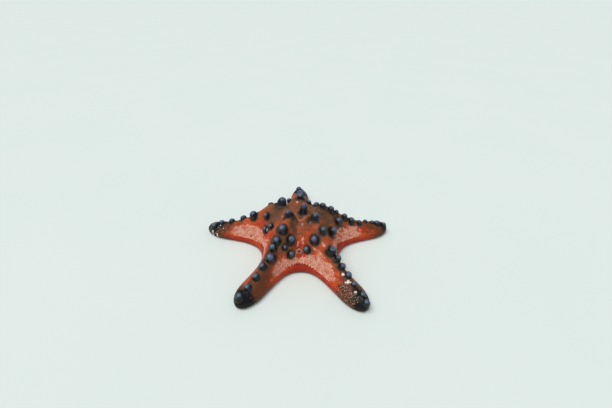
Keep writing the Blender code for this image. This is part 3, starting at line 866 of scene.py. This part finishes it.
class Look:
    """A material in the making, with the nodes that draw it."""

    def __init__(self, name, roughness, **sockets):
        """A Principled material with its settings."""
        self.made = bpy.data.materials.new(name)
        self.made.use_nodes = True
        self.tree = self.made.node_tree
        self.shader = self.tree.nodes["Principled BSDF"]
        for socket, value in dict(sockets, Roughness=roughness).items():
            self.shader.inputs[socket.replace("_", " ")].default_value = value

    def put(self, kind, wires, **settings):
        """A node; an input takes a value, a node's output or the name of a field of the mesh."""
        made = self.tree.nodes.new("ShaderNode" + kind)
        for name, value in settings.items():
            setattr(made, name, value)
        for socket, source in wires.items():
            if isinstance(source, str):
                source = self.put("Attribute", {}, attribute_name=source).outputs["Fac"]
            if isinstance(source, bpy.types.NodeSocket):
                self.tree.links.new(source, made.inputs[socket])
            else:
                made.inputs[socket].default_value = source
        return made

    def drive(self, socket, source):
        """Let a node's output drive the shader."""
        self.tree.links.new(source, self.shader.inputs[socket])

    def texture(self, kind, size, wires=None, **settings):
        """A texture on the mesh's own places, with lumps or cells of a size in metres."""
        place = self.put("TexCoord", {}).outputs["Object"]
        wires = dict(wires or {}, Vector=place, Scale=1.0 / size)
        return self.put(kind, wires, **settings).outputs

    def noise(self, size, detail=2.0):
        """Soft noise from 0 to 1."""
        return self.texture("TexNoise", size, {"Detail": detail})["Fac"]

    def chance(self, size):
        """Two random numbers for each cell."""
        colour = self.texture("TexVoronoi", size)["Color"]
        return self.put("SeparateColor", {0: colour}).outputs[0:2]

    def math(self, operation, a, b):
        """Two numbers put together."""
        return self.put("Math", {0: a, 1: b}, operation=operation).outputs[0]

    def plus(self, value, *others):
        """A number with others added, each with its weight."""
        for other, weight in others:
            value = self.math("ADD", value, self.math("MULTIPLY", other, weight))
        return value

    def frayed(self, value, *grains):
        """A number with noise added, which frays the edges of what it draws."""
        for grain, amount in grains:
            value = self.plus(value, (self.math("SUBTRACT", grain, 0.5), amount))
        return value

    def step(self, value, low, high):
        """A smooth step of a number from 0 at low to 1 at high."""
        wires = {"Value": value, "From Min": low, "From Max": high}
        return self.put("MapRange", wires, interpolation_type="SMOOTHSTEP").outputs[0]

    def blend(self, share, a, b):
        """A colour between two."""
        return self.put("Mix", {0: share, 6: a, 7: b}, data_type="RGBA").outputs[2]

    def painted(self, colour, *layers):
        """A colour under layers, each with its paint, the number that it follows and where that
        starts and is full, and perhaps its most cover."""
        for paint, value, low, high, *most in layers:
            share = self.step(value, low, high)
            if most:
                share = self.math("MULTIPLY", share, most[0])
            colour = self.blend(share, colour, paint)
        return colour

    def finish(self, colour, height, depth, strength):
        """The material, with its colour and the fine relief of its shading."""
        wires = {"Height": height, "Distance": depth, "Strength": strength}
        self.drive("Base Color", colour)
        self.drive("Normal", self.put("Bump", wires).outputs[0])
        return self.made


def skin_material():
    """Orange-red granular skin, brown clouds, painted shade, pale patches, a red rim, black tips.
    """
    look = Look("skin", 0.5, Specular_IOR_Level=0.16)
    lumps, fine, wide = look.noise(LUMPS), look.noise(FINE, 3.0), look.noise(WIDE)
    drawn, other = look.chance(GRAIN_CELL)
    tiny = look.chance(SPECK_CELL)[0]
    web = look.texture("TexVoronoi", WEB_CELL, feature="DISTANCE_TO_EDGE")["Distance"]

    broad = look.frayed(wide, (fine, 0.5))
    cloud = look.frayed("cloud", (lumps, 0.8), (drawn, 0.2))
    patch = look.frayed("pale", (drawn, 0.55), (lumps, 1.6))
    beside = look.step("pale", 0.22, 0.02)
    patch = look.plus(patch, ("dash", 0.6), ("hug", -0.6), (beside, -0.9))
    tooth = look.math("PINGPONG", look.math("DIVIDE", "run", PLATE_PITCH / 2.0), 1.0)
    edge = look.frayed(look.plus("share", (tooth, -0.06)), (fine, 0.05))
    dapple = look.frayed(look.math("MULTIPLY", "specks", drawn), (fine, 0.6))
    dots = look.frayed(look.plus(tiny, ("specks", 0.21)), (fine, 0.25))
    spot = look.frayed("worn", (fine, 1.6), (lumps, 1.0))
    tint = look.painted(
        PINK,
        (CREAM, look.frayed(other, (fine, 0.6)), 0.2, 0.8),
        (RED, web, 0.12, 0.02, 0.42),
    )
    rim = look.painted(
        RIM_ORANGE,
        (RIM_RED, broad, 0.35, 0.65),
        # Darker towards the floor is painted shade under the rim; dark between the plates is
        # their joints
        (RIM_JOINT_AND_SHADE, look.frayed("level", (fine, 0.01)), 0.044, 0.006),
        (RIM_JOINT_AND_SHADE, "plate", 0.6, 0.1, 0.6),
    )
    belly = look.painted(
        BELLY,
        (BELLY_PALE, look.frayed(lumps, (fine, 0.8), (drawn, 0.35)), 0.25, 0.75),
        (BELLY_SEAM, web, 0.12, 0.02, 0.25),
        (BELLY_SEAM, "net", 0.16, 0.04, 0.6),
    )
    colour = look.painted(
        ORANGE,
        (RED, broad, 0.38, 0.62),
        (TAN, cloud, 0.1, 0.72),
        (BROWN, cloud, 0.5, 0.98),
        (DARK_BROWN, cloud, 0.95, 1.35),
        (tint, patch, 0.36, 0.58),
        # The halo round the horns' roots is partly darker skin and partly painted shade
        (HALO_SHADE, look.frayed("hug", (fine, 0.4), (lumps, 0.3)), 0.34, 1.02),
        (COLLAR, look.frayed("collar", (lumps, 1.2), (fine, 0.6)), 0.55, 1.05),
        (rim, edge, 0.9, 0.925),
        (END_BROWN, look.frayed("brown", (lumps, 0.8), (drawn, 0.4)), 0.15, 0.95),
        (SOOT, look.frayed("black", (lumps, 0.5), (drawn, 0.3)), 0.25, 0.8),
        (DARK_BROWN, dapple, 0.3, 0.7, 0.75),
        (SPECK, dots, 1.02, 1.1),
        (WORN_PINK, spot, 0.25, 0.85, 0.75),
        (WHITE, spot, 0.72, 0.98),
        (belly, "top", 0.65, 0.35),
    )
    rough = look.put("MapRange", {"Value": fine, "To Min": 0.4, "To Max": 0.62})
    look.drive("Roughness", rough.outputs[0])
    pearls = look.step(look.texture("TexVoronoi", BEAD_CELL)["Distance"], 0.75, 0.0)
    return look.finish(colour, look.plus(pearls, (fine, 0.5)), SKIN_GRAIN, 0.6)


def plate_material():
    """A pale pinkish lime plate with darker furrows and a darker middle."""
    look = Look("madreporite", 0.6, Specular_IOR_Level=0.3)
    fine, lumps = look.noise(0.0005, 3.0), look.noise(0.0018)
    colour = look.painted(
        PLATE_DARK,
        (PLATE_PALE, look.frayed("furrow", (fine, 0.5)), -0.6, 0.3),
        (PLATE_RED, look.frayed("middle", (lumps, 0.5)), 0.35, 0.75),
    )
    return look.finish(colour, fine, OTHER_GRAIN, 0.6)


def lumpy_material(name, roughness, shine, grain, pale, dark):
    """Two colours that mix in lumps, with a fine grain."""
    look = Look(name, roughness, Specular_IOR_Level=shine)
    lumps, fine = look.noise(0.003), look.noise(grain, 3.0)
    colour = look.painted(pale, (dark, look.frayed(lumps, (fine, 0.6)), 0.3, 0.7))
    return look.finish(colour, fine, OTHER_GRAIN, 0.5)


def foot_material():
    """Soft wet tube feet, cream with orange ends."""
    look = Look(
        "tube_foot", 0.28, Coat_Weight=0.3, Coat_Roughness=0.15, Subsurface_Weight=0.15,
        Subsurface_Radius=(0.002, 0.001, 0.0006),
    )
    lumps, fine = look.noise(0.004), look.noise(0.0007)
    mixed = look.frayed(lumps, (fine, 0.5))
    colour = look.painted(FOOT_PALE, (FOOT_ORANGE, mixed, 0.35, 0.65))
    return look.finish(colour, fine, OTHER_GRAIN, 0.4)


def horn_material():
    """Smooth slate-black horn with a painted bluish highlight towards its tip."""
    look = Look("horn", 0.42, Specular_IOR_Level=0.22, Coat_Weight=0.25, Coat_Roughness=0.2)
    mottle, fine = look.noise(0.0022, 3.0), look.noise(0.0007, 3.0)
    high = look.frayed("high", (mottle, 0.45))
    colour = look.painted(
        HORN_DARK,
        # The bluish top is a painted highlight
        (HORN_HIGHLIGHT_BLUE, high, 0.58, 1.16),
        (HORN_ROOT_BROWN, high, 0.3, -0.05),
        (WHITE, look.frayed("chip", (fine, 0.8)), 0.5, 0.62),
    )
    return look.finish(colour, fine, OTHER_GRAIN, 0.5)


# Horns

def spoke(turn):
    """The level direction of a bearing in radians."""
    return Vector((math.cos(turn), math.sin(turn), 0.0))


def turns(count):
    """Equal turns round a ring."""
    return [2.0 * math.pi * j / count for j in range(count)]


def horn_mesh(bm, one, draw, high, chip, chipped):
    """One fine horn, added to a mesh."""
    bulge = draw.uniform(*HORN_BULGE)
    round_tip = draw.uniform(*HORN_ROUND)
    shift = draw.uniform(0.0, 50.0)
    stand = UP.rotation_difference(one.aim).to_matrix()
    rings = []
    for k in range(HORN_RINGS + 1):
        up = between(HORN_ROOT, 1.0, math.sin(k / HORN_RINGS * math.pi / 2.0))
        wide = HORN_WIDTH * max(1.0 - max(up, 0.0) ** bulge, 0.0) ** round_tip
        wide += HORN_FLARE * math.exp(-max(up, -0.1) / HORN_FLARE_HEIGHT)
        ring = []
        for turn in turns(HORN_SIDES) if k < HORN_RINGS else [0.0]:
            way = spoke(turn + one.turn)
            rough = 1.0 + HORN_WAVER * noise.noise(way * 1.3 + Vector((shift, 0.0, up * 2.0)))
            spot = way * one.radius * wide * rough
            spot.z = up * one.height
            away = stand @ spot
            point = bm.verts.new(one.place + away)
            point[high] = up
            if chipped and up > CHIP_ABOVE:
                point[chip] = ramp(away.normalized().dot(CHIP_SIDE), *CHIP_EDGE)
            ring.append(point)
        rings.append(ring)
    tip = rings.pop()[0]
    join_rings(bm, rings)
    for a, b in zip(rings[-1], rings[-1][1:] + rings[-1][:1]):
        bm.faces.new((a, b, tip))


def join_rings(bm, rings):
    """A skin over rings of points, closed at its start."""
    for near, far in zip(rings, rings[1:]):
        for j in range(len(near)):
            k = (j + 1) % len(near)
            bm.faces.new((near[j], near[k], far[k], far[j]))
    bm.faces.new(list(reversed(rings[0])))


def horn_pieces(horns, look):
    """The horns of each node, joined."""
    draw = random.Random(SEED + 1)
    for node in ["disc"] + [arm.name for arm in ARMS]:
        bm = bmesh.new()
        high, chip = bm.verts.layers.float.new("high"), bm.verts.layers.float.new("chip")
        for number, one in enumerate(horns):
            if one.node == node:
                horn_mesh(bm, one, draw, high, chip, number == CHIPPED)
        finish_piece(bm, "horns_" + node, "horn", look)


def turned_piece(bm, rings, stand=Matrix.Identity(4)):
    """Rings of places, moved to where they stand and joined into a closed skin."""
    made = [[bm.verts.new(stand @ Vector(p)) for p in ring] for ring in rings]
    join_rings(bm, made)
    bm.faces.new(made[-1])


def finish_piece(bm, name, slot, look, *replaced):
    """An object of the scene from a mesh in the making, with its material; its slot is not used.
    """
    bmesh.ops.recalc_face_normals(bm, faces=bm.faces)
    mesh = mesh_from(bm, name)
    mesh.shade_smooth()
    mesh.materials.append(look)
    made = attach(object_from(name, mesh), "root")
    if replaced:
        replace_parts(made, *replaced)
    return made


def plate_place(radius, angle):
    """A place on the sieve plate before it stands, and how high its furrow is there."""
    depth, width = PLATE_FURROW
    two, three = PLATE_OVAL
    oval = 1.0 + two * math.cos(2.0 * angle) + three * math.cos(3.0 * angle + 1.0)
    p = spoke(angle) * radius * PLATE_SIZE * REACH * oval
    dome = (1.0 - radius ** 4) * (1.0 - PLATE_DENT * math.exp(-(radius / 0.35) ** 2))
    wind = noise.noise(p / 0.0016) * 2.6 + noise.noise(p / 0.0008 + Vector((9, 0, 0)))
    furrow = math.cos(p.x / width + wind)
    if radius > PLATE_SPOKES_FROM:
        furrow = math.cos(angle * PLATE_SPOKES + wind * 2.2)
    edge = min(1.0, (1.0 - radius) * 8.0)
    p.z = dome * PLATE_RISE * REACH + depth * edge * furrow
    return p, furrow


def sieve_plate():
    """The sieve plate: a low round button with winding furrows, on a ring of skin."""
    arm, s, t = arm_at(*plan_point(PLATE_BEARING, PLATE_RADIUS))
    place, normal = skin_frame(int(arm), float(s), float(t))
    stand = UP.rotation_difference(normal).to_matrix().to_4x4()
    around, out = PLATE_GRID
    rings, furrows, middles = [], [], []
    for k in range(out + 1):
        radius = 1.0 - k / out * PLATE_OPEN
        ring = []
        for angle in turns(around):
            p, furrow = plate_place(radius, angle)
            p.z -= PLATE_SUNK * (k == 0)
            ring.append(p)
            furrows.append(furrow)
            middles.append(1.0 - float(ramp(radius, 0.3, 0.75)))
        rings.append(ring)
    bm = bmesh.new()
    turned_piece(bm, rings, Matrix.Translation(place) @ stand)
    made = finish_piece(bm, "madreporite_fine", "madreporite", plate_material(), "madreporite")
    set_field(made.data, "furrow", furrows)
    set_field(made.data, "middle", middles)


def lip(bm):
    """A soft round lip with radial folds, open in the middle."""
    around, across = LIP_GRID
    rings = []
    for k in range(across):
        share = k / (across - 1)
        angle = between(*LIP_ARC, share) * math.pi
        ring = []
        for turn in turns(around):
            fold = LIP_FOLD * math.cos(turn * LIP_FOLDS + 0.6 * math.sin(turn * 5.0))
            radius = 0.62 + 0.38 * math.cos(angle) + fold * (1.0 - share)
            rise = (LIP_TOP - LIP_LOW) * (0.5 - 0.5 * math.sin(angle)) * (1.0 + 0.4 * fold)
            place = spoke(turn) * max(radius, LIP_HOLE) * LIP_SIZE
            place.z = LIP_LOW + rise
            ring.append(place * REACH)
        rings.append(ring)
    turned_piece(bm, rings, Matrix.Translation(CENTRE))


def blunt_spine(bm, root, aim, flat, length, half):
    """One flattened spine with a round tip; flat is the way that it is widest."""
    along = aim.normalized()
    wide = (flat - along * flat.dot(along)).normalized()
    thick = along.cross(wide)
    rings = []
    for k in range(SPINE_RINGS + 1):
        up = between(SPINE_ROOT, 1.0, math.sin(k / SPINE_RINGS * math.pi / 2.0))
        high = max(up, 0.0)
        girth = math.sqrt(1.0 - high ** 5) * between(SPINE_WAIST, 1.0, high) + SPINE_END
        rings.append([
            root + along * up * length
            + (wide * math.cos(turn) * half[0] + thick * math.sin(turn) * half[1]) * girth
            for turn in turns(SPINE_SIDES)
        ])
    turned_piece(bm, rings)


def mouth_parts():
    """The lip and the jaw spines: three at each side of every corner of the mouth."""
    bm = bmesh.new()
    lip(bm)
    draw = random.Random(SEED + 2)
    for corner in BEARINGS + NEXT_TURN:
        for number, spread in enumerate(JAW_SPREADS):
            for turn in (corner - spread, corner + spread):
                out = spoke(turn)
                root = CENTRE + out * (JAW_RING + JAW_STEP * number) * REACH
                root.z = LIP_LOW * REACH + JAW_SUNK
                aim = -UP - out * (JAW_LEAN + draw.uniform(-0.08, 0.08))
                smaller = REACH * (1.0 - JAW_SHRINK * number)
                size = JAW_RADIUS * smaller
                half = (size, size * JAW_FLAT)
                blunt_spine(bm, root, aim, out.cross(UP), JAW_LENGTH * smaller, half)
    look = lumpy_material("mouth", 0.42, 0.45, 0.0006, MOUTH_PALE, MOUTH_DARK)
    finish_piece(bm, "mouth_lip_and_jaws", "mouth", look, "mouth")


def groove_places(pitch, start, stop):
    """Stations along every arm, with the groove's half width and how narrow it is there."""
    for arm, one in enumerate(ARMS):
        count = int((stop * one.length - start) / pitch) + 1
        for k in range(count):
            s = start + k * pitch
            mouth = between(GROOVE_HALF, MOUTH_RADIUS, float(smooth(1.0 - s / MOUTH_WIDENS)))
            half = min(mouth, margin_side(arm, s) * GROOVE_MOST)
            yield arm, s, half, min(1.0, half / GROOVE_HALF)


def margin_side(arm, s):
    """Half the width of an arm at a station, with its rounded tip."""
    length = LENGTHS[arm]
    start = TIP_START * length
    past = max((s - start) / (length - start), 0.0)
    return half_width(arm, 0, s) * math.sqrt(max(1.0 - past ** 2, 0.0))


def under_place(arm, s, t, level):
    """A place under an arm, in metres."""
    return Vector((*world(arm, s, t), level))


def tube_feet():
    """Soft tube feet with cupped suckers, in two rows along each groove."""
    bm = bmesh.new()
    draw = random.Random(SEED + 3)
    for arm, s, _, slim in groove_places(FOOT_PITCH, FOOT_START, FOOT_STOP):
        for row in (-1.0, 1.0):
            here = s + FOOT_STAGGER * row * FOOT_PITCH
            foot = under_place(arm, here, row * FOOT_ROW * slim, FOOT_LEVEL)
            tall = groove_roof(here) * REACH + FOOT_SUNK - FOOT_LEVEL
            sway = Vector((draw.uniform(-1.0, 1.0), draw.uniform(-1.0, 1.0), 0.0)) * FOOT_SWAY
            size = FOOT_SUCKER * REACH * between(0.62, 1.0, slim) * draw.uniform(0.88, 1.06)
            rings = []
            for radius, up in FOOT_PROFILE:
                middle = foot + sway * math.sin(up * math.pi) + UP * up * tall
                reach = max(radius, FOOT_CUP) * size
                rings.append([middle + spoke(turn) * reach for turn in turns(FOOT_SIDES)])
            turned_piece(bm, rings)
    finish_piece(bm, "tube_feet", "tube_foot", foot_material())


def groove_spines():
    """A row of short blunt spines along each edge of the grooves, leaning over them."""
    bm = bmesh.new()
    draw = random.Random(SEED + 4)
    for arm, s, half, slim in groove_places(SPINE_PITCH, SPINE_START, SPINE_STOP):
        ahead = spoke(BEARINGS[arm])
        left = Vector((-ahead.y, ahead.x, 0.0))
        for row in (-1.0, 1.0):
            root = under_place(arm, s, row * (half + SPINE_BESIDE), SPINE_LEVEL)
            aim = left * -row + UP * draw.uniform(-0.6, -0.35)
            aim += ahead * draw.uniform(-0.2, 0.2)
            length = SPINE_LENGTH * REACH * between(0.6, 1.0, slim) * draw.uniform(0.9, 1.05)
            size = [REACH * part * between(0.7, 1.0, slim) for part in SPINE_HALF]
            blunt_spine(bm, root, aim, ahead, length, size)
    for point in bm.verts:
        point.co.z = max(point.co.z, 0.0001)
    look = lumpy_material("groove_spine", 0.55, 0.35, 0.0005, SPINE_PALE, SPINE_ORANGE)
    finish_piece(bm, "groove_spines", "skin", look)


def dressed_skin(horns):
    """The skin with its relief, its fields and its material."""
    skin = fine_skin()
    points, facing = point_values(skin.data, "co"), point_values(skin.data, "normal")
    f = skin_fields(points, facing, horns)
    points = points + facing * relief(points, horns, f)[:, None]
    points[:, 2] = np.maximum(points[:, 2], 0.0)
    skin.data.vertices.foreach_set("co", points.astype(np.float32).ravel())
    skin.data.update()
    skin_colours(skin.data, points, f)
    skin.data.shade_smooth()
    skin.data.materials.append(skin_material())
    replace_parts(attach(skin, "root"), "disc", *[arm.name for arm in ARMS])


horns = all_horns()
dressed_skin(horns)
horn_pieces(horns, horn_material())
sieve_plate()
mouth_parts()
tube_feet()
groove_spines()


def floor():
    """A plain pale floor out to the horizon of the view."""
    mesh = bpy.data.meshes.new("floor")
    mesh.from_pydata([(-40, -40, 0), (40, -40, 0), (40, 40, 0), (-40, 40, 0)], [], [(0, 1, 2, 3)])
    look = Look("floor", 0.9)
    look.drive("Base Color", look.blend(look.noise(0.2), FLOOR, FLOOR_DARK))
    mesh.materials.append(look.made)
    object_from("floor", mesh)


def lights():
    """A broad soft light from above and a little to the left, and a pale sky."""
    sun = bpy.data.lights.new("soft_light", "SUN")
    sun.energy = 2.2
    sun.angle = math.radians(38.0)
    lamp = object_from("soft_light", sun)
    lamp.rotation_euler = Vector((-0.3, -0.22, 1.0)).to_track_quat("Z", "Y").to_euler()
    sky = bpy.data.worlds.new("sky")
    sky.use_nodes = True
    glow = sky.node_tree.nodes["Background"].inputs
    glow["Color"].default_value = (0.8, 0.9, 1.0, 1.0)
    glow["Strength"].default_value = 0.45
    bpy.context.scene.world = sky
    bpy.context.scene.view_settings.view_transform = "Standard"


floor()
lights()


def photo_camera():
    """The camera where the photo's stood."""
    data = bpy.data.cameras.new("camera")
    data.sensor_width = SENSOR
    data.lens = LENS
    made = object_from("camera", data)
    made.location = CENTRE + CAMERA_PLACE * REACH
    made.rotation_euler = (math.radians(CAMERA_PITCH), 0.0, 0.0)
    bpy.context.scene.camera = made


photo_camera()
